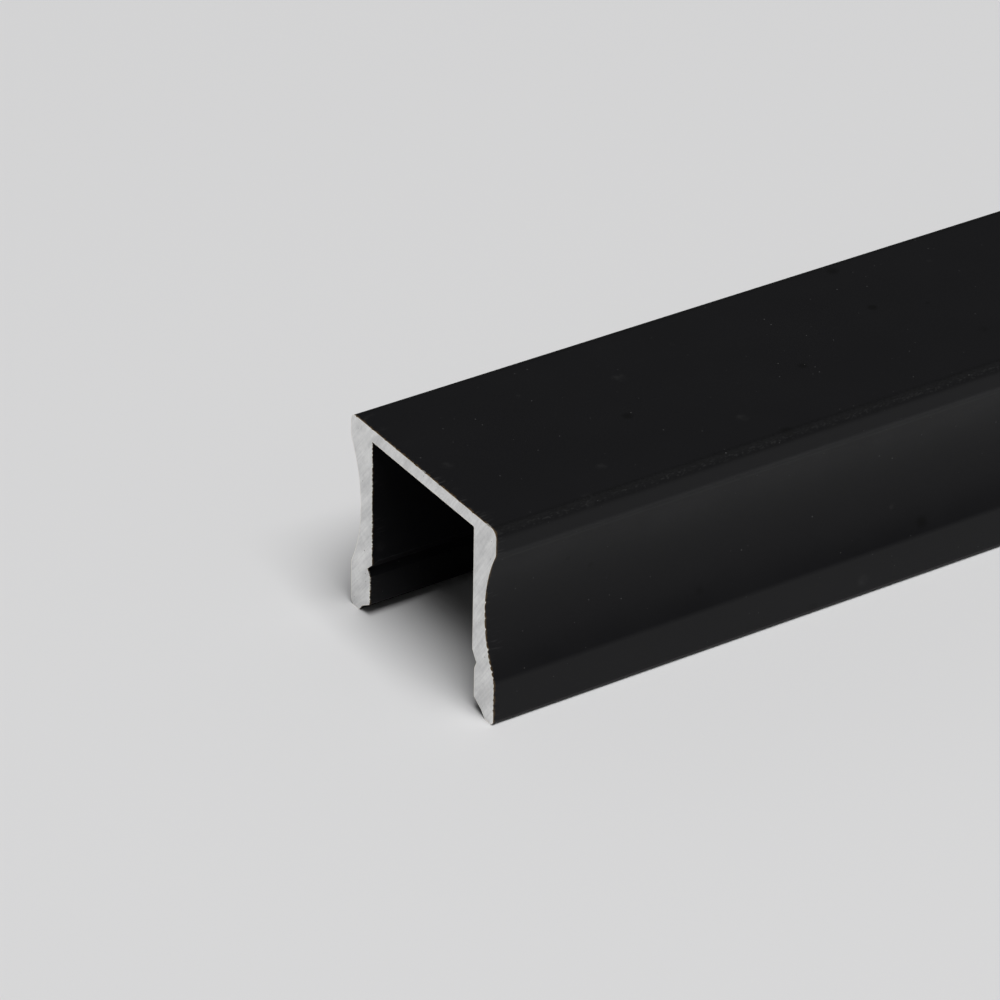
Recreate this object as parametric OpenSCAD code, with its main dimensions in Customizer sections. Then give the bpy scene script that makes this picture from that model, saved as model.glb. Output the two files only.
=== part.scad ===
// Snap-in cover channel: an extruded aluminium U-profile with waisted sides, lying web up on its two feet.
// X runs along the bar, Y across it and Z up, with the origin on the floor under the middle of the bar.

/* [Bar] */
// Cut length of the bar
length = 1000; // [50:1:3000]

/* [Section] */
// Overall height, from the floor to the back of the web
profile_h = 14.7; // [12:0.1:25]
// Clear width between the two inner walls, for a 12 mm strip
channel_w = 12.2; // [8.2:0.1:30]
// Thickness of the web that joins the legs
web_t = 0.95; // [0.7:0.05:2]
// Thickness of a leg where its waist is deepest
wall_t = 1.35; // [1.1:0.05:2.5]

/* [Waist] */
// Height of the upright band between the back and the waist
shoulder_h = 1.8; // [1.5:0.05:3]
// Height of the upright band between the floor and the waist
foot_h = 3.3; // [2.5:0.05:4.5]
// Depth of the hollow in each side
waist_d = 1.2; // [0.6:0.05:1.6]

/* [Cover groove] */
// How far the pad under the groove lies behind the inner wall
pad_step = 0.25; // [0.1:0.05:0.5]
// Height of the upright pad
pad_h = 2.15; // [1.5:0.05:3]
// Depth of the groove behind the pad
groove_d = 0.25; // [0.15:0.05:0.5]
// Height of the groove's lower face, which holds the cover's lip
groove_catch_h = 0.55; // [0.3:0.05:1]
// Height of the groove's upper face
groove_slope_h = 0.75; // [0.4:0.05:1.2]

/* [Foot tip] */
// Width of the flat that the bar stands on, with its outer corner
tip_w = 1; // [0.8:0.05:1.3]
// Height of the low step inside the tip
tip_h = 0.5; // [0.3:0.05:0.8]
// Width of the low step inside the tip
tip_step = 0.4; // [0.2:0.05:0.6]
// Height of the slope that leads the cover in
lead_in_h = 0.55; // [0.4:0.05:1]

/* [Edges] */
// Radius of the two upper corners
back_r = 0.55; // [0.2:0.05:0.8]
// Radius of the outer corner of each foot
foot_r = 0.4; // [0.2:0.05:0.6]
// Radius of the edges above and below the waist
waist_edge_r = 0.8; // [0.2:0.1:1.2]
// Radius of the small edges inside the channel
inner_r = 0.1; // [0.05:0.01:0.14]

/* [Hidden] */
$fn = 120;
black_anodised = [0.07, 0.07, 0.075];

// Half widths, measured from the middle of the bar
wall_y = channel_w / 2;
pad_y = wall_y + pad_step;
groove_y = pad_y + groove_d;
waist_y = wall_y + wall_t;
side_y = waist_y + waist_d;
tip_y = side_y - tip_w;
step_y = tip_y - tip_step;

// Heights above the floor
pad_z = tip_h + lead_in_h;
catch_z = pad_z + pad_h;
groove_z = catch_z + groove_catch_h;
wall_z = groove_z + groove_slope_h;
web_z = profile_h - web_t;

// The waist is one arc, from the top of the foot to the bottom of the shoulder
shoulder_z = profile_h - shoulder_h;
waist_half_h = (shoulder_z - foot_h) / 2;
waist_r = (waist_half_h ^ 2 + waist_d ^ 2) / (2 * waist_d);

// Corners of one leg, counter-clockwise from the web: distance from the middle, height and edge radius
leg = [
    [wall_y, web_z, inner_r],
    [wall_y, wall_z, inner_r],
    [groove_y, groove_z, inner_r],
    [pad_y, catch_z, inner_r],
    [pad_y, pad_z, inner_r],
    [step_y, tip_h, inner_r],
    [tip_y, 0, inner_r],
    [side_y, 0, foot_r],
    [side_y, profile_h, back_r],
];
last = len(leg) - 1;
outline = concat(leg, [for (i = [last : -1 : 0]) [-leg[i].x, leg[i].y, leg[i].z]]);
corners = [0 : len(outline) - 1];

function unit(v) = v / norm(v);
function corner(i) = let (c = outline[(i + len(outline)) % len(outline)]) [c.x, c.y];

// Direction from a corner to the one after it (step 1) or before it (step -1)
function way(i, step) = unit(corner(i + step) - corner(i));

// The outline runs counter-clockwise, so it turns left at an outer corner
function is_outer(i) = cross(way(i, -1), way(i, 1)) < 0;

// What lies between a corner and the arc that eases it, with some more beyond the corner
module corner_spare(i) {
    r = outline[i].z;
    before = way(i, -1);
    after = way(i, 1);
    half_angle = acos(before * after) / 2;
    reach = r / tan(half_angle);
    centre = unit(before + after) * r / sin(half_angle);
    translate(corner(i))
        difference() {
            polygon([centre, after * reach, -centre, before * reach]);
            translate(centre)
                circle(r);
        }
}

// What lies between the edge where an upright band ends and the arc that eases it, with the waist above the edge
module waist_edge_spare() {
    waist_centre = [waist_r - waist_d, waist_half_h];
    reach = waist_centre.x + waist_edge_r;
    drop = sqrt((waist_r + waist_edge_r) ^ 2 - reach ^ 2) - waist_half_h;
    centre = [-waist_edge_r, -drop];
    spread = 2 * waist_edge_r;
    difference() {
        polygon([centre, centre + [spread, 0], centre + spread * unit(waist_centre - centre)]);
        translate(centre)
            circle(waist_edge_r);
    }
}

// Hollow in one side of the profile
module waist() {
    translate([waist_y + waist_r, foot_h + waist_half_h])
        circle(waist_r);
    translate([side_y, foot_h])
        waist_edge_spare();
    translate([side_y, shoulder_z])
        mirror([0, 1])
            waist_edge_spare();
}

// Section across the bar: inner corners are filled to their arcs, outer ones are cut back to theirs
module section() {
    difference() {
        union() {
            polygon([for (i = corners) corner(i)]);
            for (i = corners)
                if (!is_outer(i))
                    corner_spare(i);
        }
        for (i = corners)
            if (is_outer(i))
                corner_spare(i);
        for (side = [0, 1])
            mirror([side, 0])
                waist();
    }
}

module channel_profile() {
    color(black_anodised)
        rotate([90, 0, 90])
            linear_extrude(height = length, center = true)
                section();
}

channel_profile();
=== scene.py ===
"""Looks of a snap-in cover channel: one extruded aluminium bar, black anodised, then sawn square at its ends.

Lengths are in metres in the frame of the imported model: X along the bar, Y across it and Z up from the floor.
"""

import logging
import math
import random
from collections.abc import Callable, Iterator
from contextlib import contextmanager
from dataclasses import dataclass
from enum import Enum
from functools import cache, cached_property

import bmesh
import bpy
from mathutils import Matrix, Vector, kdtree


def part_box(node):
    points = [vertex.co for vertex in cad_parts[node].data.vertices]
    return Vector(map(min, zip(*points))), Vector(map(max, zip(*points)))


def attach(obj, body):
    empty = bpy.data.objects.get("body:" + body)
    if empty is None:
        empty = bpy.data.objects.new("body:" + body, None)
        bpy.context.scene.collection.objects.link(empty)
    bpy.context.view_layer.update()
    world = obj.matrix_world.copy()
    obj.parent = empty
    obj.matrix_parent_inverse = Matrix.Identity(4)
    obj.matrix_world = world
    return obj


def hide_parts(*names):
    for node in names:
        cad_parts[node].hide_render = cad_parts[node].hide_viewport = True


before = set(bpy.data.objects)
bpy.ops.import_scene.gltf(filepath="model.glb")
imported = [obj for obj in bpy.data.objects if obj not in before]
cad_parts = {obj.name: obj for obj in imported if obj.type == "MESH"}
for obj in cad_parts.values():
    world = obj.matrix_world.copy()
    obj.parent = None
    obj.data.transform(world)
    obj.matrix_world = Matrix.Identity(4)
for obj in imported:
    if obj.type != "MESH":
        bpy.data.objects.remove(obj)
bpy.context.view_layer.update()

MM = 0.001
TINY = 1e-6
CAD_NODE = "channel_profile"
SEED = 17
# Least share of X in the direction of a sawn face
SAWN_FACING = 0.9
# Takes the part of a place that lies across the bar
ACROSS = (0, 1, 1)
# What a noise mostly keeps to
NOISE_RANGE = (0.25, 0.75)
# Smallest and largest speck, and the solid core of each, as shares of its radius
SPECK_SIZES = (0.35, 1.0)
SPECK_CORE = 0.4

Piece = bpy.types.Object
Socket = bpy.types.NodeSocket
Tone = tuple[float, float, float, float]

log = logging.getLogger("channel_bar")


class Element(Enum):
    """What a selection is made of, as Blender's select modes name it."""

    VERT = "VERT"
    EDGE = "EDGE"
    FACE = "FACE"


class Falloff(Enum):
    """How the metal round a tooth follows it, as Blender's proportional editing names it."""

    SHARP = "SHARP"
    SMOOTH = "SMOOTH"


class Skin(Enum):
    """The bar's two surfaces, by their material slot."""

    ANODISED = 0
    SAWN = 1


@contextmanager
def editing(piece: Piece) -> Iterator[None]:
    """Opens one piece in edit mode with nothing selected, and goes back to object mode afterwards.

    Args:
        piece: The mesh object to work on.
    """
    bpy.ops.object.select_all(action="DESELECT")
    bpy.context.view_layer.objects.active = piece
    piece.select_set(True)
    bpy.ops.object.mode_set(mode="EDIT")
    bpy.ops.mesh.select_all(action="DESELECT")
    yield
    bpy.ops.object.mode_set(mode="OBJECT")


def pick(piece: Piece, element: Element, test: Callable[..., bool]) -> int:
    """Selects what passes a test, and nothing else, in a piece that is in edit mode.

    Args:
        piece: The mesh object in edit mode.
        element: Whether vertices, edges or faces are tested.
        test: Takes one vertex, edge or face and says whether it is wanted.

    Returns:
        How many were selected.
    """
    bpy.ops.mesh.select_mode(type=element.value)
    bpy.ops.mesh.select_all(action="DESELECT")
    mesh = bmesh.from_edit_mesh(piece.data)
    parts = {Element.VERT: mesh.verts, Element.EDGE: mesh.edges, Element.FACE: mesh.faces}[element]
    wanted = [part for part in parts if test(part)]
    for part in wanted:
        part.select_set(True)
    mesh.select_flush_mode()
    bmesh.update_edit_mesh(piece.data)
    return len(wanted)


def is_sawn(face: bmesh.types.BMFace) -> bool:
    """Says whether a face lies across the bar, as the sawn ends do."""
    return abs(face.normal.x) > SAWN_FACING


class OutlineTracer:
    """Pulls one vertex along an outline in a plane across the bar, and leaves its trail as edges.

    Points are two-dimensional: the first number runs along Y and the second along Z.
    """

    def __init__(self, name: str, plane_x: float, start: Vector) -> None:
        """Adds a plane and merges it to the single vertex that the trail starts from.

        Args:
            name: Name of the new mesh object.
            plane_x: Place of the outline's plane along X.
            start: First point of the outline.
        """
        bpy.ops.object.select_all(action="DESELECT")
        bpy.ops.mesh.primitive_plane_add(size=1 * MM, location=(0, 0, 0))
        self.piece = bpy.context.object
        self.piece.name = name
        self.piece.data.name = name
        self.plane_x = plane_x
        self.at = start.copy()
        bpy.ops.object.mode_set(mode="EDIT")
        bpy.ops.mesh.select_all(action="SELECT")
        bpy.ops.mesh.merge(type="CENTER")
        bpy.ops.transform.translate(value=(plane_x, start.x, start.y))

    def line_to(self, point: Vector, steps: int = 1) -> None:
        """Pulls the vertex straight to a point.

        Args:
            point: Where the line ends.
            steps: Number of edges that the line is made of.
        """
        stride = (point - self.at) / steps
        for _ in range(steps):
            bpy.ops.mesh.extrude_vertices_move(TRANSFORM_OT_translate={"value": (0, stride.x, stride.y)})
        self.at = point.copy()

    def arc(self, centre: Vector, angle: float, steps: int) -> None:
        """Spins the vertex round a centre, which Blender's operator does the other way round.

        Args:
            centre: Middle of the arc.
            angle: Turn from Y towards Z, in radians.
            steps: Number of edges that the arc is made of.
        """
        bpy.ops.mesh.spin(
            steps=steps,
            angle=-angle,
            center=(self.plane_x, centre.x, centre.y),
            axis=(1, 0, 0),
            use_auto_merge=False,
        )
        self.at = centre + Matrix.Rotation(angle, 2) @ (self.at - centre)

    def corner(self, point: Vector, radius: float, following: Vector, steps: int) -> None:
        """Goes on towards a corner and round the arc that eases it.

        Args:
            point: The corner, where its two sides would meet.
            radius: Radius of the arc.
            following: The outline's next point after the corner.
            steps: Number of edges that the arc is made of.
        """
        before = (self.at - point).normalized()
        after = (following - point).normalized()
        half_angle = before.angle(after) / 2
        centre = point + (before + after).normalized() * radius / math.sin(half_angle)
        turn = math.copysign(math.pi - 2 * half_angle, after.x * before.y - after.y * before.x)
        self.line_to(point + before * radius / math.tan(half_angle))
        self.arc(centre, turn, steps)

    def finish(self) -> Piece:
        """Leaves edit mode and returns the traced object."""
        bpy.ops.object.mode_set(mode="OBJECT")
        return self.piece


@dataclass(frozen=True)
class Section:
    """Section across the bar, as the part's source has it.

    The overall half width and height come from the frame. All else is a real size of the profile, but for the
    stride and the steps, which are how finely its outline is traced.
    """

    side_y: float
    height: float
    web_t: float = 0.95 * MM
    wall_t: float = 1.35 * MM
    shoulder_h: float = 1.8 * MM
    foot_h: float = 3.3 * MM
    waist_d: float = 1.2 * MM
    pad_step: float = 0.25 * MM
    pad_h: float = 2.15 * MM
    groove_d: float = 0.25 * MM
    groove_catch_h: float = 0.55 * MM
    groove_slope_h: float = 0.75 * MM
    tip_w: float = 1.0 * MM
    tip_h: float = 0.5 * MM
    tip_step: float = 0.4 * MM
    lead_in_h: float = 0.55 * MM
    back_r: float = 0.55 * MM
    foot_r: float = 0.4 * MM
    waist_edge_r: float = 0.8 * MM
    inner_r: float = 0.1 * MM
    stride: float = 0.1 * MM
    back_steps: int = 12
    foot_steps: int = 10
    inner_steps: int = 4

    @property
    def waist_y(self) -> float:
        """Half width where the waist is deepest."""
        return self.side_y - self.waist_d

    @property
    def wall_y(self) -> float:
        """Half width of the channel between the inner walls."""
        return self.waist_y - self.wall_t

    @property
    def web_z(self) -> float:
        """Height of the web's underside."""
        return self.height - self.web_t

    @property
    def wall_z(self) -> float:
        """Height where the inner wall ends above the groove."""
        return self.tip_h + self.lead_in_h + self.pad_h + self.groove_catch_h + self.groove_slope_h

    def inner_corners(self) -> list[Vector]:
        """Finds the corners inside the far leg.

        Returns:
            The corners, from the tip of the foot up to the web.
        """
        pad_y = self.wall_y + self.pad_step
        tip_y = self.side_y - self.tip_w
        pad_z = self.tip_h + self.lead_in_h
        catch_z = pad_z + self.pad_h
        return [
            Vector((tip_y, 0)),
            Vector((tip_y - self.tip_step, self.tip_h)),
            Vector((pad_y, pad_z)),
            Vector((pad_y, catch_z)),
            Vector((pad_y + self.groove_d, catch_z + self.groove_catch_h)),
            Vector((self.wall_y, self.wall_z)),
            Vector((self.wall_y, self.web_z)),
        ]

    def back_corner_middle(self) -> Vector:
        """Returns the middle of the arc that eases the far upper corner."""
        inset = self.back_r * (1 - math.sqrt(0.5))
        return Vector((self.side_y - inset, self.height - inset))

    def waist_arc(self) -> tuple[Vector, float]:
        """Finds the arc of the far leg's waist.

        Returns:
            The centre and the radius.
        """
        half_h = (self.height - self.shoulder_h - self.foot_h) / 2
        radius = (half_h**2 + self.waist_d**2) / (2 * self.waist_d)
        return Vector((self.waist_y + radius, self.foot_h + half_h)), radius

    def on_waist(self, height: float) -> Vector:
        """Returns the point of the far leg's waist at a height."""
        centre, radius = self.waist_arc()
        return Vector((centre.x - math.sqrt(radius**2 - (height - centre.y) ** 2), height))

    def trace_waist(self, tracer: OutlineTracer) -> None:
        """Goes down the hollow side of one leg: an eased edge, the waist and the other eased edge.

        Args:
            tracer: The tracer, on the upright band above the waist.
        """
        middle, waist_r = self.waist_arc()
        edge_y = self.side_y - self.waist_edge_r
        reach = middle.x - edge_y
        lift = math.sqrt((waist_r + self.waist_edge_r) ** 2 - reach**2)
        turn = math.atan2(lift, reach)
        waist_steps = round(2 * turn * waist_r / self.stride)
        edge_steps = round(turn * self.waist_edge_r / (self.stride / 2))
        tracer.line_to(Vector((self.side_y, middle.y + lift)))
        tracer.arc(Vector((edge_y, middle.y + lift)), -turn, edge_steps)
        tracer.arc(middle, 2 * turn, waist_steps)
        tracer.arc(Vector((edge_y, middle.y - lift)), -turn, edge_steps)

    def trace(self, name: str, plane_x: float) -> Piece:
        """Traces the far half of the section, from the middle of the back to the middle under the web.

        Args:
            name: Name of the new mesh object.
            plane_x: Place of the section along X.

        Returns:
            The mesh object, with one open run of edges.
        """
        back_corner = Vector((self.side_y, self.height))
        foot_corner = Vector((self.side_y, 0))
        inside = self.inner_corners()
        under_web = Vector((0, self.web_z))
        tracer = OutlineTracer(name, plane_x, Vector((0, self.height)))
        tracer.corner(back_corner, self.back_r, foot_corner, self.back_steps)
        self.trace_waist(tracer)
        tracer.corner(foot_corner, self.foot_r, inside[0], self.foot_steps)
        for corner, following in zip(inside, inside[1:] + [under_web]):
            tracer.corner(corner, self.inner_r, following, self.inner_steps)
        tracer.line_to(under_web)
        return tracer.finish()


@dataclass(frozen=True)
class Burr:
    """How the saw frayed an edge, tooth by tooth. Pairs of lengths are least and most.

    The gap is from one tooth to the next, the depth is how far a tooth is pushed, the push is its way along
    Y and Z for a depth of 1, and the reach is how far along the edge it draws metal with it.
    """

    gap: tuple[float, float]
    depth: tuple[float, float]
    push: tuple[float, float]
    reach: float
    falloff: Falloff = Falloff.SHARP


@dataclass(frozen=True)
class FrayedEdge:
    """A straight or curved stretch of a sawn edge with its burr.

    The low and high corners are those of a box round the stretch, with Y first and Z second.
    """

    low: Vector
    high: Vector
    burr: Burr

    @property
    def run(self) -> int:
        """The axis that the stretch runs along: 0 for Y, 1 for Z."""
        size = self.high - self.low
        return 0 if size.x > size.y else 1

    def tooth_places(self, draw: random.Random) -> list[float]:
        """Spaces the teeth along the stretch.

        Args:
            draw: Source of the random gaps.

        Returns:
            Their places, from the high end down.
        """
        places = []
        place = self.high[self.run]
        while place > self.low[self.run]:
            places.append(place)
            place -= draw.uniform(*self.burr.gap)
        return places

    def pull(self, bar: Piece, end_x: float, draw: random.Random) -> None:
        """Pulls the edge out into teeth, with the bar in edit mode.

        Args:
            bar: The mesh object of the bar.
            end_x: Place of the sawn end along X.
            draw: Source of the random gaps and depths.
        """
        push_y, push_z = self.burr.push
        for place in self.tooth_places(draw):
            depth = draw.uniform(*self.burr.depth)
            pick(bar, Element.VERT, self.on_edge(end_x))
            mesh = bmesh.from_edit_mesh(bar.data)
            edge = [vert for vert in mesh.verts if vert.select]
            tooth = min(edge, key=lambda vert: abs(vert.co.yz[self.run] - place)).index
            pick(bar, Element.VERT, lambda vert: vert.index == tooth)
            bpy.ops.transform.translate(
                value=(0, push_y * depth, push_z * depth),
                use_proportional_edit=True,
                proportional_edit_falloff=self.burr.falloff.value,
                proportional_size=self.burr.reach,
            )

    def on_edge(self, end_x: float) -> Callable[[bmesh.types.BMVert], bool]:
        """Makes a test for the vertices on the edge itself, which the faces along the bar share.

        Args:
            end_x: Place of the sawn end along X.

        Returns:
            The test, which takes one vertex.
        """

        def test(vert: bmesh.types.BMVert) -> bool:
            """Looks where a vertex lies and where its edges lead.

            Args:
                vert: A vertex of the bar.

            Returns:
                Whether it is on the edge.
            """
            at = vert.co.yz
            in_box = all(low < place < high for low, place, high in zip(self.low, at, self.high))
            if abs(vert.co.x - end_x) > TINY or not in_box:
                return False
            return any(abs(edge.other_vert(vert).co.x - end_x) > TINY for edge in vert.link_edges)

        return test


@dataclass(frozen=True)
class SawBurr:
    """The burr of both sawn ends: its kinds, and the stretches of edge that have them.

    A stretch's box reaches into the room that its teeth are pushed to, and past the edge by a little slack.
    Spans and gaps are heights: of the teeth above the front foot, of the stubs above the teeth, of the waves
    above the groove and under the web, and of the flap over the groove.
    """

    section: Section
    room: float = 0.25 * MM
    waist_room: float = 0.1 * MM
    slack: float = 0.02 * MM
    teeth_span: tuple[float, float] = (0.2 * MM, 2.2 * MM)
    stubs_gap: float = 0.4 * MM
    stubs_top_share: float = 0.6
    nicks_low_share: float = 0.25
    waves_gaps: tuple[float, float] = (0.3 * MM, 0.2 * MM)
    flap_span: tuple[float, float] = (-0.1 * MM, 0.2 * MM)
    teeth: Burr = Burr(
        gap=(0.26 * MM, 0.42 * MM), depth=(0.08 * MM, 0.25 * MM), push=(-1, 0.45), reach=0.2 * MM
    )
    stubs: Burr = Burr(
        gap=(0.4 * MM, 0.9 * MM), depth=(0.03 * MM, 0.13 * MM), push=(-1, 0.7), reach=0.2 * MM
    )
    nicks: Burr = Burr(
        gap=(0.3 * MM, 0.5 * MM), depth=(0.03 * MM, 0.08 * MM), push=(1, 0), reach=0.16 * MM
    )
    waves: Burr = Burr(
        gap=(0.2 * MM, 0.3 * MM), depth=(0.06 * MM, 0.15 * MM), push=(-1, 0.3), reach=0.14 * MM
    )
    flap: Burr = Burr(
        gap=(1 * MM, 1 * MM),
        depth=(0.05 * MM, 0.06 * MM),
        push=(-1, -5),
        reach=0.5 * MM,
        falloff=Falloff.SMOOTH,
    )
    bites: Burr = Burr(
        gap=(0.5 * MM, 2.5 * MM), depth=(0.03 * MM, 0.08 * MM), push=(0, -1), reach=0.18 * MM
    )

    def on_side(self, low: float, high: float, burr: Burr) -> FrayedEdge:
        """Boxes in a stretch of the front leg's outer edge.

        Args:
            low: Height of its lower end.
            high: Height of its upper end.
            burr: How it is frayed.

        Returns:
            The stretch.
        """
        outer = -self.section.side_y - self.slack
        inner = -self.section.waist_y + self.waist_room
        return FrayedEdge(Vector((outer, low)), Vector((inner, high)), burr)

    def on_inside(self, low: Vector, high: Vector, burr: Burr) -> FrayedEdge:
        """Returns a stretch of the far leg's inner edge, between its lower and its upper end."""
        return FrayedEdge(low - Vector((self.room, 0)), high + Vector((self.slack, 0)), burr)

    def edges(self) -> list[FrayedEdge]:
        """Lists the ragged edges of an end, in the order in which they are frayed.

        Returns:
            Stretches of the front leg's side, of the far leg's inner wall and pad, and the back.
        """
        section = self.section
        pad_foot, pad_top, _, wall_foot, web_corner = section.inner_corners()[2:]
        foot, top = section.foot_h, section.height
        flat_y = section.side_y - section.back_r
        teeth_low, teeth_high = (foot + height for height in self.teeth_span)
        waves_low, waves_high = (Vector((0, gap)) for gap in self.waves_gaps)
        flap_low, flap_high = (wall_foot + Vector((0, height)) for height in self.flap_span)
        return [
            self.on_side(teeth_low, teeth_high, self.teeth),
            self.on_side(teeth_high + self.stubs_gap, self.stubs_top_share * top, self.stubs),
            self.on_side(self.nicks_low_share * foot, foot, self.nicks),
            self.on_inside(wall_foot + waves_low, web_corner - waves_high, self.waves),
            self.on_inside(flap_low, flap_high, self.flap),
            self.on_inside(pad_foot, pad_top, self.waves),
            FrayedEdge(Vector((-flat_y, top - self.room)), Vector((flat_y, top + self.slack)), self.bites),
        ]

    def fray(self, bar: Piece, ends: tuple[float, float]) -> None:
        """Pulls the burr out along the ragged edges of both ends.

        Args:
            bar: The mesh object of the bar.
            ends: Places of the sawn ends along X.
        """
        draw = random.Random(SEED)
        with editing(bar):
            for end_x in ends:
                for edge in self.edges():
                    edge.pull(bar, end_x, draw)


@dataclass(frozen=True)
class PatternMap:
    """The bar's own map for baked patterns.

    The two sawn faces and the stretches next to them are looked at closely, so they are large on it. The
    drawn faces are unrolled round the section. Places on the map run from 0 to 1.
    """

    section: Section
    low_x: float
    high_x: float
    near_length: float
    name: str = "OFBake"
    margin: float = 0.005
    face_w: float = 0.42
    row_h: float = 0.305

    def unroll(self, mesh: bmesh.types.BMesh) -> tuple[kdtree.KDTree, list[float]]:
        """Walks round the section's outline, from the middle of the back.

        Args:
            mesh: The bar's mesh before its edges are frayed.

        Returns:
            A finder of the outline's points, and each point's share of the way round.
        """
        beside: dict[bmesh.types.BMVert, list[bmesh.types.BMVert]] = {}
        for edge in mesh.edges:
            at_end = all(abs(vert.co.x - self.low_x) < TINY for vert in edge.verts)
            if at_end and not all(is_sawn(face) for face in edge.link_faces):
                for vert in edge.verts:
                    beside.setdefault(vert, []).append(edge.other_vert(vert))
        back = [vert for vert in beside if abs(vert.co.z - self.section.height) < TINY]
        first = min(back, key=lambda vert: abs(vert.co.y))
        order = [first, beside[first][0]]
        while len(order) < len(beside):
            order.append(next(vert for vert in beside[order[-1]] if vert is not order[-2]))
        finder = kdtree.KDTree(len(order))
        way = [0.0]
        for number, vert in enumerate(order):
            finder.insert((0, vert.co.y, vert.co.z), number)
            way.append(way[-1] + (order[(number + 1) % len(order)].co - vert.co).length)
        finder.balance()
        return finder, [done / way[-1] for done in way[:-1]]

    def lay_out(self, bar: Piece) -> None:
        """Writes the map onto the bar.

        Args:
            bar: The mesh object of the bar before its edges are frayed.
        """
        mesh = bmesh.new()
        mesh.from_mesh(bar.data)
        finder, shares = self.unroll(mesh)
        layer = mesh.loops.layers.uv.new(self.name)
        for face in mesh.faces:
            points = [loop.vert.co for loop in face.loops]
            if is_sawn(face):
                places = [self.on_sawn_face(point) for point in points]
            else:
                numbers = [finder.find((0, point.y, point.z))[1] for point in points]
                round_way = self.past_start([shares[number] for number in numbers])
                face_x = face.calc_center_median().x
                places = [self.on_strip(point.x, face_x, share) for point, share in zip(points, round_way)]
            for loop, place in zip(face.loops, places):
                loop[layer].uv = place
        mesh.to_mesh(bar.data)
        mesh.free()

    @staticmethod
    def past_start(shares: list[float]) -> list[float]:
        """Counts the corners of the face that closes the round on past 1.

        Args:
            shares: The way round to each corner of one face.

        Returns:
            The same, without a jump from the round's end back to its start.
        """
        if max(shares) - min(shares) < 0.5:
            return shares
        return [share + 1 if share < 0.5 else share for share in shares]

    def on_sawn_face(self, point: Vector) -> tuple[float, float]:
        """Finds the map place of a point on a sawn face, which is laid out flat as it is.

        Args:
            point: The point.

        Returns:
            The place in the left end's column or in the right end's.
        """
        scale = self.face_w / (2 * self.section.side_y)
        column = 0 if point.x < (self.low_x + self.high_x) / 2 else self.face_w + self.margin
        return self.margin + column + (point.y + self.section.side_y) * scale, self.margin + point.z * scale

    def on_strip(self, x: float, face_x: float, share: float) -> tuple[float, float]:
        """Finds the map place of a point on a drawn face.

        Args:
            x: Place of the point along X.
            face_x: Place of its face's middle along X.
            share: The point's share of the way round the section.

        Returns:
            The place on the strip that the face belongs to: the left end, the right end or all between.
        """
        low, high = self.low_x + self.near_length, self.high_x - self.near_length
        whole_w = 1 - 2 * self.margin
        half_w = (whole_w - self.margin) / 2
        upper_row = 1 - self.margin - self.row_h
        lower_row = upper_row - self.margin - self.row_h
        across = share * (self.row_h - self.margin)
        if face_x < low:
            return self.margin + half_w * (x - self.low_x) / self.near_length, lower_row + across
        if face_x > high:
            right = self.margin + half_w + self.margin
            return right + half_w * (x - high) / self.near_length, lower_row + across
        return self.margin + whole_w * (x - low) / (high - low), upper_row + across


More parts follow.
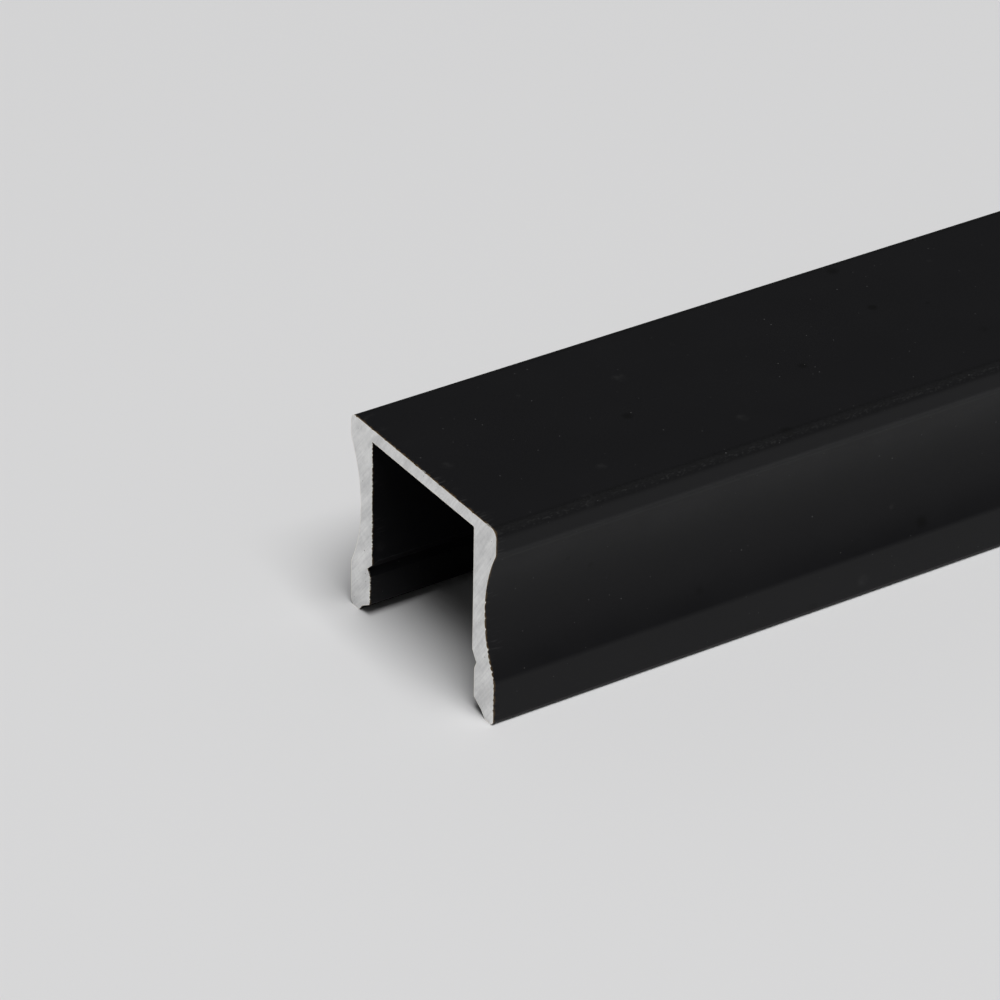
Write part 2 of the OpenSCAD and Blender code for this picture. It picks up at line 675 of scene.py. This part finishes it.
@dataclass
class ChannelBar:
    """The bar itself: the section drawn out along X, with its two sawn ends."""

    section: Section
    low_x: float
    high_x: float
    name: str = "channel_bar"
    collars: tuple[float, ...] = (0.12 * MM, 0.5 * MM)
    near_length: float = 60 * MM
    rim_w: float = 0.06 * MM
    rim: str = "rim"
    smooth_angle: float = math.radians(25)
    long_line: float = 1 * MM
    # How far below the shoulder band the painted highlight on the waist runs.
    highlight_drop: float = 0.47 * MM

    def build(self) -> Piece:
        """Models the bar.

        Returns:
            The finished mesh object, without materials.
        """
        bar = self.section.trace(self.name, self.low_x)
        self.split_lines(bar)
        self.mirror_half(bar)
        self.draw_out(bar)
        self.cut_ends(bar)
        self.mark_rims(bar)
        PatternMap(self.section, self.low_x, self.high_x, self.near_length).lay_out(bar)
        SawBurr(self.section).fray(bar, (self.low_x, self.high_x))
        self.shade(bar)
        return bar

    def split_lines(self, bar: Piece) -> None:
        """Divides the section's long straight lines into short edges, which the saw can fray.

        Args:
            bar: The mesh object with the half section.
        """
        with editing(bar):
            mesh = bmesh.from_edit_mesh(bar.data)
            lengths = [edge.calc_length() for edge in mesh.edges]
            for length in sorted(length for length in lengths if length > self.long_line):
                pick(bar, Element.EDGE, lambda edge: abs(edge.calc_length() - length) < TINY)
                bpy.ops.mesh.subdivide(number_cuts=round(length / self.section.stride) - 1)

    def mirror_half(self, bar: Piece) -> None:
        """Makes the traced half of the section whole.

        Args:
            bar: The mesh object with the half section.
        """
        mirror = bar.modifiers.new("other_leg", "MIRROR")
        mirror.use_axis = (False, True, False)
        mirror.merge_threshold = TINY
        bpy.context.view_layer.objects.active = bar
        bpy.ops.object.modifier_apply(modifier=mirror.name)

    def draw_out(self, bar: Piece) -> None:
        """Fills the section and extrudes it to the bar's length.

        Args:
            bar: The mesh object with the whole outline.
        """
        with editing(bar):
            bpy.ops.mesh.select_all(action="SELECT")
            bpy.ops.mesh.edge_face_add()
            bpy.ops.mesh.extrude_region_move(
                TRANSFORM_OT_translate={"value": (self.high_x - self.low_x, 0, 0)}
            )
            bpy.ops.mesh.select_all(action="SELECT")
            bpy.ops.mesh.normals_make_consistent(inside=False)

    def cut_ends(self, bar: Piece) -> None:
        """Cuts collars and a longer stretch off each end, and insets each sawn face by a rim.

        Args:
            bar: The mesh object of the bar.
        """
        with editing(bar):
            for collar_w in (*self.collars, self.near_length):
                for place in (self.low_x + collar_w, self.high_x - collar_w):
                    bpy.ops.mesh.select_all(action="SELECT")
                    bpy.ops.mesh.bisect(plane_co=(place, 0, 0), plane_no=(1, 0, 0), threshold=TINY)
            pick(bar, Element.FACE, is_sawn)
            bpy.ops.mesh.inset(thickness=self.rim_w, depth=0)

    def mark_rims(self, bar: Piece) -> None:
        """Writes an attribute that is 1 on the sawn edges and falls to 0 across the rims and collars.

        Args:
            bar: The mesh object of the bar.
        """

        def on_sawn_edge(vert: bmesh.types.BMVert) -> bool:
            """Says whether a sawn face and a drawn face meet in a vertex."""
            return len({is_sawn(face) for face in vert.link_faces}) == 2

        bpy.ops.geometry.attribute_add(name=self.rim, domain="POINT", data_type="FLOAT")
        with editing(bar):
            pick(bar, Element.VERT, on_sawn_edge)
            bpy.ops.mesh.attribute_set(value_float=1.0)

    def shade(self, bar: Piece) -> None:
        """Shades the arcs round and keeps the flats flat.

        Args:
            bar: The mesh object of the bar.
        """
        bpy.ops.object.select_all(action="DESELECT")
        bar.select_set(True)
        bpy.context.view_layer.objects.active = bar
        bpy.ops.object.shade_smooth_by_angle(angle=self.smooth_angle)
        weighted = bar.modifiers.new("flat_faces", "WEIGHTED_NORMAL")
        weighted.keep_sharp = True
        bpy.ops.object.modifier_apply(modifier=weighted.name)

    def dress(self, bar: Piece) -> None:
        """Gives the drawn faces the anodised finish and the sawn ends bare metal.

        Args:
            bar: The finished mesh object.
        """
        half_length = (self.high_x - self.low_x) / 2
        corner = self.section.back_corner_middle()
        # Line of the painted highlight along the waist's upper edge
        waist_edge = self.section.on_waist(self.section.height - self.section.shoulder_h - self.highlight_drop)
        bar.data.materials.append(BlackAnodised(half_length, corner, waist_edge).material())
        bar.data.materials.append(SawnAluminium(self.rim).material())
        with editing(bar):
            pick(bar, Element.FACE, is_sawn)
            bar.active_material_index = Skin.SAWN.value
            bpy.ops.object.material_slot_assign()


class NodeBoard:
    """A node tree that is being wired up."""

    def __init__(self, tree: bpy.types.NodeTree) -> None:
        """Starts from an empty tree."""
        self.tree = tree
        self.tree.nodes.clear()

    def feed(self, socket: Socket, value: object) -> None:
        """Links another node's output to an input, or sets a plain value on it.

        Args:
            socket: The input.
            value: Another node's output, or a plain value.
        """
        if isinstance(value, Socket):
            self.tree.links.new(value, socket)
        else:
            socket.default_value = value

    def add(
        self, kind: str, sockets: dict[str | int, object] | None = None, **settings: object
    ) -> bpy.types.Node:
        """Adds a node.

        Args:
            kind: Blender's name of the node's type.
            sockets: What each input takes: another node's output, or a plain value.
            settings: The node's own properties.

        Returns:
            The new node.
        """
        node = self.tree.nodes.new(kind)
        for key, value in settings.items():
            setattr(node, key, value)
        for key, value in (sockets or {}).items():
            self.feed(node.inputs[key], value)
        return node

    def math(self, operation: str, first: object, second: object = 0.0) -> Socket:
        """Adds a math node by Blender's name of the sum, and returns its output."""
        return self.add("ShaderNodeMath", {0: first, 1: second}, operation=operation).outputs["Value"]

    def plus(self, first: object, second: object) -> Socket:
        """Returns the sum of two numbers or outputs."""
        return self.math("ADD", first, second)

    def times(self, first: object, second: object) -> Socket:
        """Returns the product of two numbers or outputs."""
        return self.math("MULTIPLY", first, second)

    def vector(
        self, operation: str, first: object, second: object = (0, 0, 0), output: str = "Vector"
    ) -> Socket:
        """Adds a vector math node by Blender's name of the sum, and returns the named output."""
        node = self.add("ShaderNodeVectorMath", {0: first, 1: second}, operation=operation)
        return node.outputs[output]

    def span(
        self, value: object, source: tuple[object, object], target: tuple[object, object] = (0, 1)
    ) -> Socket:
        """Adds a map from one range of numbers to another, eased at both ends and held beyond them.

        Args:
            value: The number or output to map.
            source: The two ends of the range it comes from.
            target: What the two ends become.

        Returns:
            The mapped number.
        """
        sockets = {0: value, 1: source[0], 2: source[1], 3: target[0], 4: target[1]}
        node = self.add("ShaderNodeMapRange", sockets, interpolation_type="SMOOTHSTEP")
        return node.outputs["Result"]

    def blend(self, share: object, first: object, second: object) -> Socket:
        """Returns a mix of two colours, with the share of the second one that shows."""
        node = self.add("ShaderNodeMix", {0: share, 6: first, 7: second}, data_type="RGBA")
        return node.outputs[2]

    def stretch(self, place: Socket, lengths: tuple[object, object, object]) -> Socket:
        """Returns a place divided by one length along each axis."""
        unit = self.add("ShaderNodeCombineXYZ", dict(enumerate(lengths)))
        return self.vector("DIVIDE", place, unit.outputs["Vector"])

    def effect(self, group: bpy.types.NodeTree, sockets: dict[str, object]) -> Socket:
        """Places a shared effect with what each named input takes, and returns its only output."""
        return self.add("ShaderNodeGroup", sockets, node_tree=group).outputs[0]


class EffectBoard(NodeBoard):
    """A shared node group that is being wired up. It takes a place and lengths, and puts out one number."""

    def __init__(self, name: str, lengths: tuple[str, ...], output: str) -> None:
        """Starts the group with its sockets.

        Args:
            name: Name of the group.
            lengths: Names of the number inputs.
            output: Name of the output.
        """
        super().__init__(bpy.data.node_groups.new(name, "ShaderNodeTree"))
        sockets = self.tree.interface
        sockets.new_socket(name="Vector", in_out="INPUT", socket_type="NodeSocketVector")
        for length in lengths:
            sockets.new_socket(name=length, in_out="INPUT", socket_type="NodeSocketFloat")
        sockets.new_socket(name=output, in_out="OUTPUT", socket_type="NodeSocketFloat")
        self.given = self.add("NodeGroupInput").outputs

    def put_out(self, value: Socket) -> bpy.types.NodeTree:
        """Links the output and returns the finished group."""
        self.add("NodeGroupOutput", {0: value})
        return self.tree


class FinishBoard(NodeBoard):
    """A new material that is being wired up."""

    def __init__(self, name: str) -> None:
        """Starts the material.

        Args:
            name: Name of the material.
        """
        self.material = bpy.data.materials.new(name)
        self.material.use_nodes = True
        super().__init__(self.material.node_tree)

    @cached_property
    def place(self) -> Socket:
        """The place on the piece."""
        return self.add("ShaderNodeTexCoord").outputs["Object"]

    def bump(self, height: Socket) -> Socket:
        """Returns the surface direction for a height in metres."""
        return self.add("ShaderNodeBump", {"Height": height, "Distance": 1.0}).outputs["Normal"]

    def finish(self, sockets: dict[str, object]) -> bpy.types.Material:
        """Adds the surface.

        Args:
            sockets: What the surface's named inputs take.

        Returns:
            The finished material.
        """
        shader = self.add("ShaderNodeBsdfPrincipled", sockets)
        self.add("ShaderNodeOutputMaterial", {"Surface": shader.outputs["BSDF"]})
        return self.material


@cache
def specks_group() -> bpy.types.NodeTree:
    """Builds the effect of small round marks: one in each cell at most, and only in a share of the cells.

    Returns:
        The node group, which puts out a mask.
    """
    board = EffectBoard("specks", ("Spacing", "Radius", "Share"), "Mask")
    given = board.given
    place = board.stretch(given["Vector"], (given["Spacing"],) * 3)
    cells = board.add("ShaderNodeTexVoronoi", {"Vector": place, "Scale": 1.0})
    chance = board.add("ShaderNodeSeparateColor", {"Color": cells.outputs["Color"]}).outputs
    size = board.times(given["Radius"], board.span(chance["Green"], (0, 1), SPECK_SIZES))
    away = board.times(cells.outputs["Distance"], given["Spacing"])
    mark = board.span(away, (size, board.times(size, SPECK_CORE)))
    shown = board.math("LESS_THAN", chance["Red"], given["Share"])
    return board.put_out(board.times(mark, shown))


@cache
def patches_group() -> bpy.types.NodeTree:
    """Builds the effect of soft patches of one size.

    Returns:
        The node group, which puts out a value from 0 to 1.
    """
    board = EffectBoard("mottle", ("Size",), "Value")
    place = board.stretch(board.given["Vector"], (board.given["Size"],) * 3)
    noise = {"Vector": place, "Scale": 1.0, "Detail": 2.0, "Roughness": 0.55}
    cloud = board.add("ShaderNodeTexNoise", noise)
    return board.put_out(board.span(cloud.outputs["Fac"], NOISE_RANGE))


@cache
def lines_group() -> bpy.types.NodeTree:
    """Builds the effect of fine lines along X of the place it is given.

    Returns:
        The node group, which puts out a value from 0 to 1.
    """
    board = EffectBoard("fine_lines", ("Length", "Pitch"), "Value")
    given = board.given
    place = board.stretch(given["Vector"], (given["Length"], given["Pitch"], given["Pitch"]))
    noise = {"Vector": place, "Scale": 1.0, "Detail": 1.0, "Roughness": 0.5}
    lines = board.add("ShaderNodeTexNoise", noise)
    return board.put_out(board.span(lines.outputs["Fac"], NOISE_RANGE))


@dataclass(frozen=True)
class Specks:
    """Small round marks, by the size of their cells, their largest radius and the share of cells with one."""

    spacing: float
    radius: float
    share: float = 1.0

    def on(self, board: FinishBoard, place: Socket) -> Socket:
        """Returns the mask of the marks at a place."""
        sizes = {"Spacing": self.spacing, "Radius": self.radius, "Share": self.share}
        return board.effect(specks_group(), {"Vector": place, **sizes})


@dataclass(frozen=True)
class Patches:
    """Soft patches of one size."""

    size: float

    def on(self, board: FinishBoard, place: Socket) -> Socket:
        """Returns the patches at a place, from 0 to 1."""
        return board.effect(patches_group(), {"Vector": place, "Size": self.size})


@dataclass(frozen=True)
class Lines:
    """Fine lines of one length and pitch."""

    length: float
    pitch: float

    def on(self, board: FinishBoard, place: Socket) -> Socket:
        """Returns the lines along X of a place, from 0 to 1."""
        return board.effect(lines_group(), {"Vector": place, "Length": self.length, "Pitch": self.pitch})


@dataclass(frozen=True)
class Band:
    """A band along both sides of the bar: whole as far as its core reaches, and gone at its width."""

    width: float
    core: float

    def along(self, board: FinishBoard, line: Vector) -> Socket:
        """Masks the band.

        Args:
            board: The material's board.
            line: Where the band's middle goes through the section, on the far side of the bar.

        Returns:
            The mask of the band and of its mirror image on the front.
        """
        folded = board.vector("ABSOLUTE", board.place)
        across = board.vector("MULTIPLY", folded, ACROSS)
        away = board.vector("DISTANCE", across, (0, line.x, line.y), output="Value")
        return board.span(away, (self.width, self.core))


@dataclass(frozen=True)
class BlackAnodised:
    """Satin black anodised aluminium: drawn along X, dusty, scuffed along its edges and given painted shade
    and painted highlights there, frayed where it was sawn.

    The corner and the waist's edge are where these lines go through the section, on the far side of the bar.
    Ranges are the part of a pattern's own range over which a mark comes up.
    """

    half_length: float
    corner: Vector
    waist_edge: Vector
    deep: Tone = (0.0041, 0.0041, 0.0049, 1.0)
    faded: Tone = (0.0051, 0.0051, 0.0059, 1.0)
    # Pale tone of handling smudges, and of the painted highlight along the waist's upper edge.
    smudge_and_highlight: Tone = (0.013, 0.013, 0.0135, 1.0)
    # Dark tone of handling stains, and of the painted shade along the corners.
    stain_and_shade: Tone = (0.0016, 0.0016, 0.0019, 1.0)
    # Pale tone of scuffs and scratches, and of the painted sheen along the corners.
    scuff_and_sheen: Tone = (0.035, 0.035, 0.035, 1.0)
    dust: Tone = (0.08, 0.08, 0.08, 1.0)
    bronze: Tone = (0.09, 0.058, 0.026, 1.0)
    bare: Tone = (0.75, 0.72, 0.66, 1.0)
    roughness: tuple[float, float] = (0.4, 0.44)
    gloss: float = 0.16
    fading: Patches = Patches(5 * MM)
    grain: Patches = Patches(0.14 * MM)
    grain_h: float = 0.0012 * MM
    drawn_lines: Lines = Lines(40 * MM, 0.3 * MM)
    drawn_h: float = 0.0002 * MM
    dusting: Specks = Specks(0.75 * MM, 0.055 * MM)
    marks: Specks = Specks(4 * MM, 0.7 * MM, 0.8)
    mark_breaks: Patches = Patches(0.4 * MM)
    stain_shift: tuple[float, float, float] = (0.1, 0.2, 0.3)
    # Painted shade along both upper corners: the band darkens the colour towards the dark stain tone, and it
    # also raises the roughness there.
    corner_dull_shade: Band = Band(0.75 * MM, 0.125 * MM)
    corner_dullness: float = 0.33
    corner_shade_darkness: float = 0.35
    dashes: Lines = Lines(0.2 * MM, 0.1 * MM)
    stretches: Patches = Patches(9 * MM)
    stretch_share: float = 0.35
    # Pale scuffs with painted sheen, a little below each upper corner.
    pale_band: Band = Band(0.24 * MM, 0.08 * MM)
    pale_drop: float = 0.12 * MM
    pale_range: tuple[float, float] = (0.85, 1.05)
    pale_most: float = 0.32
    # Painted shade lines just inside each upper corner on the back.
    dark_band: Band = Band(0.36 * MM, 0.18 * MM)
    dark_inset: float = 0.28 * MM
    dark_range: tuple[float, float] = (0.7, 0.5)
    dark_most: float = 0.9
    # Painted highlight along the upper edge of each waist, below the shoulder band.
    highlight_band: Band = Band(0.16 * MM, 0.04 * MM)
    highlight_most: float = 0.85
    strokes: Lines = Lines(0.9 * MM, 0.12 * MM)
    stroke_range: tuple[float, float] = (0.7, 1.0)
    stroke_spots: Patches = Patches(1.6 * MM)
    spot_range: tuple[float, float] = (0.4, 0.8)
    spot_most: float = 0.6
    stroke_reach: float = 1.4 * MM
    ragged: Patches = Patches(0.35 * MM)
    fray_w: float = 0.11 * MM
    fray_least: float = 0.3
    fray_fade: float = 2.0
    chips: Patches = Patches(0.9 * MM)
    chip_range: tuple[float, float] = (0.78, 0.95)

    def material(self) -> bpy.types.Material:
        """Lays the marks over the black layer, one after the other.

        Returns:
            The finished material.
        """
        board = FinishBoard("black_anodised")
        fading = self.fading.on(board, board.place)
        corner_dull_shade = self.corner_dull_shade.along(board, self.corner)
        smudges, stains = self.handling_marks(board)
        scuffs_with_sheen, painted_dark_lines = self.corner_scuffs_and_shade(board)
        thinned, bared = self.fray(board)
        layers = (
            (smudges, self.smudge_and_highlight),
            (stains, self.stain_and_shade),
            # painted shade along both upper corners
            (board.times(corner_dull_shade, self.corner_shade_darkness), self.stain_and_shade),
            # painted shade lines beside the corners
            (painted_dark_lines, self.stain_and_shade),
            # real scuffs with painted sheen along the corners
            (scuffs_with_sheen, self.scuff_and_sheen),
            # painted highlight along the waist's upper edge
            (board.times(self.highlight_band.along(board, self.waist_edge), self.highlight_most), self.smudge_and_highlight),
            (self.scratches(board), self.scuff_and_sheen),
            (self.dusting.on(board, board.place), self.dust),
            (thinned, self.bronze),
            (bared, self.bare),
        )
        tone = board.blend(fading, self.deep, self.faded)
        for mask, colour in layers:
            tone = board.blend(mask, tone, colour)
        satin = board.span(fading, (0, 1), self.roughness)
        return board.finish(
            {
                "Base Color": tone,
                "Metallic": bared,
                "Roughness": board.plus(satin, board.times(corner_dull_shade, self.corner_dullness)),
                "Specular IOR Level": self.gloss,
                "Normal": self.relief(board),
            }
        )

    def handling_marks(self, board: FinishBoard) -> tuple[Socket, Socket]:
        """Makes a few marks that handling left.

        Args:
            board: The material's board.

        Returns:
            The masks of broken pale smudges and of dark stains.
        """
        breaks = self.mark_breaks.on(board, board.place)
        smudges = board.times(self.marks.on(board, board.place), breaks)
        return smudges, self.marks.on(board, board.vector("ADD", board.place, self.stain_shift))

    def corner_scuffs_and_shade(self, board: FinishBoard) -> tuple[Socket, Socket]:
        """Makes the short pale scuffs, with painted sheen on them, along the two upper corners, and painted
        shade lines beside them.

        Args:
            board: The material's board.

        Returns:
            The masks of the pale scuffs with their painted sheen, and of the painted dark shade lines next to
            them on the back.
        """
        stretches = board.times(self.stretches.on(board, board.place), self.stretch_share)
        scuff_and_shade_dashes = board.plus(self.dashes.on(board, board.place), stretches)
        low_line = self.corner - Vector((0, self.pale_drop))
        pale = board.span(scuff_and_shade_dashes, self.pale_range, (0, self.pale_most))
        # The painted shade lines run just inside the corner on the back.
        back_line = self.corner - Vector((self.dark_inset, 0))
        dark = board.span(scuff_and_shade_dashes, self.dark_range, (0, self.dark_most))
        return (
            board.times(self.pale_band.along(board, low_line), pale),
            board.times(self.dark_band.along(board, back_line), dark),
        )

    def scratches(self, board: FinishBoard) -> Socket:
        """Makes short scratches along the bar next to its ends.

        Args:
            board: The material's board.

        Returns:
            Their mask.
        """
        near = board.span(self.inwards(board), (self.stroke_reach, 0))
        spots = board.span(self.stroke_spots.on(board, board.place), self.spot_range, (0, self.spot_most))
        strokes = board.span(self.strokes.on(board, board.place), self.stroke_range)
        return board.times(board.times(near, spots), strokes)

    def inwards(self, board: FinishBoard) -> Socket:
        """Returns the distance from the nearer end of the bar."""
        along = board.add("ShaderNodeSeparateXYZ", {"Vector": board.place}).outputs["X"]
        return board.math("SUBTRACT", self.half_length, board.math("ABSOLUTE", along))

    def fray(self, board: FinishBoard) -> tuple[Socket, Socket]:
        """Makes the ragged border of the black layer at the sawn ends.

        Args:
            board: The material's board.

        Returns:
            The mask of the thinned layer, and the mask of bare metal.
        """
        inwards = self.inwards(board)
        ragged = self.ragged.on(board, board.place)
        width = board.span(ragged, (0, 1), (self.fray_least * self.fray_w, self.fray_w))
        thinned = board.span(inwards, (board.times(width, self.fray_fade), 0))
        torn = board.span(self.chips.on(board, board.place), self.chip_range, (0, self.fray_w))
        return thinned, board.math("LESS_THAN", inwards, torn)

    def relief(self, board: FinishBoard) -> Socket:
        """Makes the satin grain and the drawn lines.

        Args:
            board: The material's board.

        Returns:
            The surface direction with both.
        """
        grain = board.times(self.grain.on(board, board.place), self.grain_h)
        lines = board.times(self.drawn_lines.on(board, board.place), self.drawn_h)
        return board.bump(board.plus(grain, lines))


@dataclass(frozen=True)
class SawnAluminium:
    """Bare aluminium as a large saw blade left it, with a painted highlight along its rims.

    The cut is made up of broad swathes, fine marks and patches, each with its share.
    """

    rim: str
    dull: Tone = (0.64, 0.64, 0.638, 1.0)
    bright: Tone = (0.98, 0.98, 0.97, 1.0)
    pit: Tone = (0.3, 0.29, 0.27, 1.0)
    # Cream tone of the painted highlight along the sawn edges.
    edge: Tone = (0.98, 0.94, 0.84, 1.0)
    roughness: tuple[float, float] = (0.42, 0.58)
    blade_r: float = 150 * MM
    blade_way: float = math.radians(39)
    swathes: Lines = Lines(2.2 * MM, 0.75 * MM)
    swathe_share: float = 0.42
    marks: Lines = Lines(2.5 * MM, 0.15 * MM)
    mark_share: float = 0.38
    patches: Patches = Patches(0.3 * MM)
    patch_share: float = 0.2
    pits: Specks = Specks(0.5 * MM, 0.07 * MM, 0.5)
    rim_highlight_most: float = 0.9
    cut_h: float = 0.006 * MM

    def material(self) -> bpy.types.Material:
        """Lays the marks of the saw, the pits and the painted highlight along the rim over the bare metal.

        Returns:
            The finished material.
        """
        board = FinishBoard("sawn_aluminium")
        sweep = self.blade_place(board)
        swathes = self.swathes.on(board, sweep)
        marks = self.marks.on(board, sweep)
        patches = self.patches.on(board, board.place)
        rim = board.add("ShaderNodeAttribute", attribute_name=self.rim).outputs["Fac"]
        cut = board.plus(board.times(swathes, self.swathe_share), board.times(marks, self.mark_share))
        cut = board.plus(cut, board.times(patches, self.patch_share))
        tone = board.blend(cut, self.dull, self.bright)
        tone = board.blend(self.pits.on(board, board.place), tone, self.pit)
        # painted highlight along the sawn edges
        tone = board.blend(board.times(rim, self.rim_highlight_most), tone, self.edge)
        return board.finish(
            {
                "Base Color": tone,
                "Metallic": 1.0,
                "Roughness": board.span(marks, (0, 1), self.roughness),
                "Normal": board.bump(board.times(cut, self.cut_h)),
            }
        )

    def blade_place(self, board: FinishBoard) -> Socket:
        """Unrolls the cut face round the blade's axle.

        Args:
            board: The material's board.

        Returns:
            The place as length along the blade's sweep, distance from the axle, and place along the bar.
        """
        axle = (0, self.blade_r * math.cos(self.blade_way), self.blade_r * math.sin(self.blade_way))
        arm = board.vector("SUBTRACT", board.place, axle)
        axes = board.add("ShaderNodeSeparateXYZ", {"Vector": arm}).outputs
        turn = board.math("ARCTAN2", board.times(axes["Z"], -1.0), board.times(axes["Y"], -1.0))
        reach = board.vector("LENGTH", board.vector("MULTIPLY", arm, ACROSS), output="Value")
        sweep = board.times(turn, self.blade_r)
        return board.add("ShaderNodeCombineXYZ", {"X": sweep, "Y": reach, "Z": axes["X"]}).outputs["Vector"]


@dataclass(frozen=True)
class PaleFloor:
    """Matt pale floor that the bar lies on."""

    size: float = 60.0
    tone: Tone = (0.72, 0.72, 0.725, 1.0)
    roughness: float = 0.9
    gloss: float = 0.1

    def build(self) -> Piece:
        """Lays the floor.

        Returns:
            The finished mesh object.
        """
        bpy.ops.object.select_all(action="DESELECT")
        bpy.ops.mesh.primitive_plane_add(size=self.size, location=(0, 0, 0))
        floor = bpy.context.object
        floor.name = "floor"
        surface = {"Base Color": self.tone, "Roughness": self.roughness, "Specular IOR Level": self.gloss}
        floor.data.materials.append(FinishBoard("pale_floor").finish(surface))
        return floor


@dataclass(frozen=True)
class Softbox:
    """A square lamp with a soft, even face."""

    azimuth: float = math.radians(258)
    elevation: float = math.radians(69)
    distance: float = 3.0
    size: float = 1.7
    power: float = 89.0

    def hang(self, aim: Vector) -> None:
        """Hangs the lamp and turns it to a point.

        Args:
            aim: What the lamp faces.
        """
        across = math.cos(self.elevation)
        way = Vector(
            (math.cos(self.azimuth) * across, math.sin(self.azimuth) * across, math.sin(self.elevation))
        )
        light = bpy.data.lights.new("softbox", "AREA")
        light.size = self.size
        light.energy = self.power
        lamp = bpy.data.objects.new("softbox", light)
        bpy.context.scene.collection.objects.link(lamp)
        lamp.location = aim + way * self.distance
        lamp.rotation_euler = (-way).to_track_quat("-Z", "Y").to_euler()


@dataclass(frozen=True)
class Studio:
    """One softbox over the bar and dim surroundings that are pale along the horizon.

    The sky is a row of stops: the height of a direction, as the sine of its angle, and its brightness there.
    """

    aim: Vector
    sky: tuple[tuple[float, float], ...] = (
        (0.001, 0.6),
        (0.1, 0.06),
        (0.3, 0.06),
        (0.5, 0.24),
        (0.62, 0.2),
        (0.78, 0.02),
        (0.999, 0.02),
    )

    def build(self) -> None:
        """Sets up the lamp and the surroundings."""
        Softbox().hang(self.aim)
        world = bpy.data.worlds.new("studio")
        bpy.context.scene.world = world
        world.use_nodes = True
        board = NodeBoard(world.node_tree)
        way = board.add("ShaderNodeTexCoord")
        split = board.add("ShaderNodeSeparateXYZ", {"Vector": way.outputs["Generated"]})
        ramp = board.add("ShaderNodeValToRGB", {"Fac": split.outputs["Z"]})
        stops = ramp.color_ramp.elements
        for position, tone in self.sky:
            stop = stops.new(position)
            stop.color = (tone, tone, tone, 1)
        stops.remove(stops[0])
        stops.remove(stops[-1])
        background = board.add("ShaderNodeBackground", {"Color": ramp.outputs["Color"], "Strength": 1.0})
        board.add("ShaderNodeOutputWorld", {"Surface": background.outputs["Background"]})


@dataclass(frozen=True)
class PhotoCamera:
    """Long lens, close to the bar's left end."""

    azimuth: float = math.radians(-33.57)
    elevation: float = math.radians(31.69)
    roll: float = math.radians(-1.02)
    distance: float = 356.6 * MM
    image_px: float = 1000.0
    focal_px: float = 5465.0
    target_right_px: float = -79.2
    target_down_px: float = 163.3
    sensor_mm: float = 36.0
    clip_start: float = 10 * MM

    def build(self, target: Vector) -> None:
        """Places the camera and makes it the scene's own.

        Args:
            target: The point whose place in the image is known.
        """
        across = math.cos(self.elevation)
        back = Vector(
            (math.sin(self.azimuth) * across, -math.cos(self.azimuth) * across, math.sin(self.elevation))
        )
        level = Vector((math.cos(self.azimuth), math.sin(self.azimuth), 0))
        upright = back.cross(level)
        right = level * math.cos(self.roll) - upright * math.sin(self.roll)
        up = level * math.sin(self.roll) + upright * math.cos(self.roll)
        per_px = self.distance / self.focal_px
        place = target + back * self.distance
        place += up * self.target_down_px * per_px - right * self.target_right_px * per_px
        lens = bpy.data.cameras.new("photo_camera")
        lens.sensor_width = self.sensor_mm
        lens.lens = self.sensor_mm * self.focal_px / self.image_px
        lens.clip_start = self.clip_start
        camera = bpy.data.objects.new("photo_camera", lens)
        bpy.context.scene.collection.objects.link(camera)
        camera.matrix_world = Matrix.Translation(place) @ Matrix((right, up, back)).transposed().to_4x4()
        bpy.context.scene.camera = camera


def main() -> None:
    """Builds the bar and the studio round it."""
    logging.basicConfig(level=logging.INFO, format="%(name)s: %(message)s")
    low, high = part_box(CAD_NODE)
    left_end = Vector((low.x, 0, 0))

    section = Section(side_y=high.y, height=high.z)
    maker = ChannelBar(section, low.x, high.x)
    bar = maker.build()
    maker.dress(bar)
    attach(bar, "root")
    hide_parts(CAD_NODE)
    log.info("%s: %d faces", bar.name, len(bar.data.polygons))

    floor = PaleFloor().build()
    log.info("%s laid", floor.name)
    Studio(aim=left_end).build()
    PhotoCamera().build(left_end)
    bpy.context.scene.view_settings.view_transform = "Standard"
    log.info("studio and camera set")


if __name__ == "__main__":
    main()
